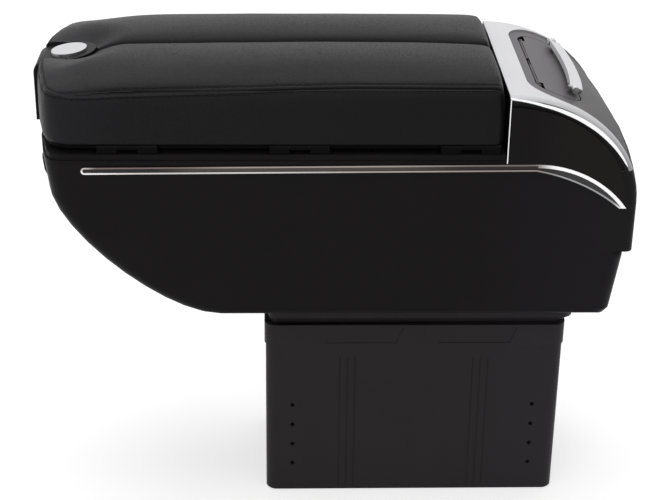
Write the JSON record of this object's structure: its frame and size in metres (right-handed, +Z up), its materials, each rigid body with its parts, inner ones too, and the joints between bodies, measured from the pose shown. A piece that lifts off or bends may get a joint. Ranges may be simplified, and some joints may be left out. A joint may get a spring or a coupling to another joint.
{
  "type": "car centre armrest",
  "caption": "Height-adjustable car centre armrest with two padded leaves over a storage body, a push-button latch, a sleeve base and a curved rear cover with an ashtray.",
  "frame": {"origin": "bottom centre of the whole armrest, on the floor under the middle of its length and width", "axes": "+Z up, +X from the button end to the ashtray end, -Y to the armrest's left when seen from behind"},
  "size_m": [0.38, 0.1528, 0.3085],
  "materials": {
    "base_plastic": "matte moulded",
    "body_plastic": "fine grained",
    "inner_plastic": "matte",
    "pad_cloth": "soft imitation leather with sewn seams",
    "satin_metal": "satin disc",
    "steel": "plain",
    "chrome": "bright plated",
    "silver_paint": "silver lacquer",
    "gloss_black": "high gloss",
    "deck_plastic": "fine grained grey",
    "insert_plastic": "ribbed smoke grey"
  },
  "bodies": {
    "base": {"base_sleeve": "base_plastic"},
    "console": {"neck_sleeve": "base_plastic", "neck_screws": "steel", "body_tub": "body_plastic", "top_frame": "body_plastic", "frame_screws": "steel", "front_plate": "body_plastic", "button_housing": "body_plastic", "button_spring": "steel", "latch_spring": "steel", "left_hinge_pin": "steel", "right_hinge_pin": "steel", "rear_cover": "deck_plastic", "silver_frame": "silver_paint", "left_side_panel": "gloss_black", "right_side_panel": "gloss_black", "left_hood_trim": "chrome", "right_hood_trim": "chrome", "left_side_trim": "chrome", "right_side_trim": "chrome", "left_trim_insert": "insert_plastic", "right_trim_insert": "insert_plastic", "ashtray_bin": "inner_plastic", "ashtray_pin": "steel"},
    "button": {"button_cap": "satin_metal", "button_plunger": "inner_plastic"},
    "latch": {"latch_bar": "inner_plastic"},
    "left_door": {"left_door_shell": "inner_plastic", "left_pad": "pad_cloth"},
    "right_door": {"right_door_shell": "inner_plastic", "right_pad": "pad_cloth"},
    "lid": {"ashtray_lid": "deck_plastic", "ashtray_handle": "chrome"}
  },
  "joints": [
    {"name": "height_slide", "type": "slide", "parent": "base", "child": "console", "axis": [0, 0, 1], "range_m": [0, 0.0459]},
    {"name": "left_door_hinge", "type": "hinge", "parent": "console", "child": "left_door", "pos_m": [0, -0.0706, 0.2623], "axis": [1, 0, 0], "range_deg": [0, 90]},
    {"name": "right_door_hinge", "type": "hinge", "parent": "console", "child": "right_door", "pos_m": [0, 0.0706, 0.2623], "axis": [-1, 0, 0], "range_deg": [0, 90]},
    {"name": "button_press", "type": "slide", "parent": "console", "child": "button", "axis": [0, 0, -1], "range_m": [0, 0.003], "stiffness_N_per_m": 600, "deforming": ["button_spring"]},
    {"name": "latch_slide", "type": "slide", "parent": "console", "child": "latch", "axis": [-1, 0, 0], "range_m": [0, 0.003], "deforming": ["latch_spring"]},
    {"name": "lid_hinge", "type": "hinge", "parent": "console", "child": "lid", "pos_m": [0.1237, 0, 0.29141], "axis": [0, -1, 0], "range_deg": [0, 75]}
  ],
  "couplings": [
    {"joint": "latch_slide", "follows": "button_press", "ratio": 1}
  ]
}
